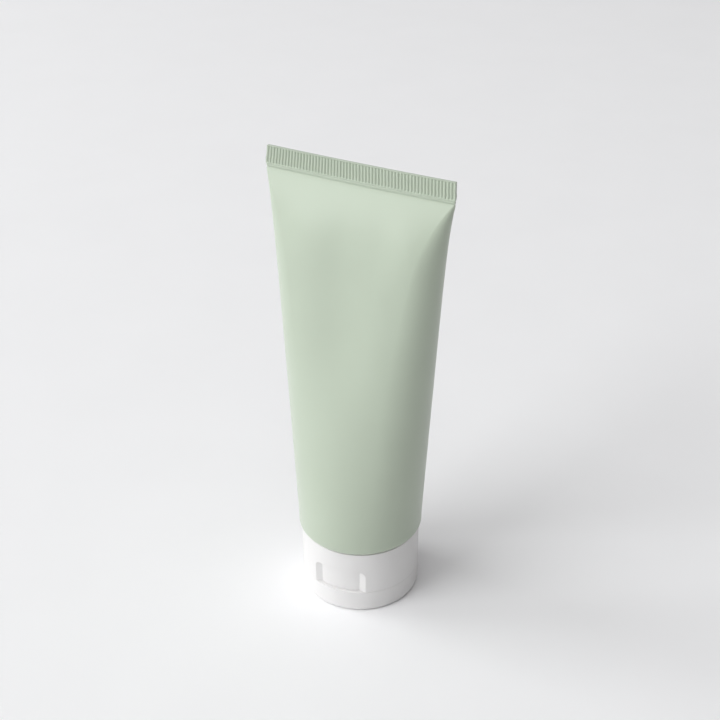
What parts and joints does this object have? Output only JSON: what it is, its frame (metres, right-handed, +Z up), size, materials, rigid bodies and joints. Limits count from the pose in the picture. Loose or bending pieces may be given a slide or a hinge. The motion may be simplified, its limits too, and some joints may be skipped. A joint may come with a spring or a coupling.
{
  "type": "hand cream tube",
  "caption": "Soft plastic hand cream tube with a flat ribbed seal, standing upside down on a round flip-top cap with a thumb recess.",
  "frame": {"origin": "on the floor under the middle of the cap, where the closed tube stands", "axes": "+Z up the tube to the seal, X along the hinge line, -Y the side with the thumb recess"},
  "size_m": [0.0604, 0.04, 0.149],
  "materials": {
    "sleeve_plastic": "satin",
    "head_plastic": "satin",
    "cream": "soft gloss",
    "cap_plastic": "satin"
  },
  "bodies": {
    "tube": {"tube_sleeve": "sleeve_plastic", "tube_head": "head_plastic", "cream": "cream", "cap_base": "cap_plastic"},
    "lid": {"lid": "cap_plastic"}
  },
  "joints": [
    {"name": "lid_hinge", "type": "hinge", "parent": "tube", "child": "lid", "pos_m": [0, 0.0194, 0.00773], "axis": [1, 0, 0], "range_deg": [0, 150]}
  ]
}
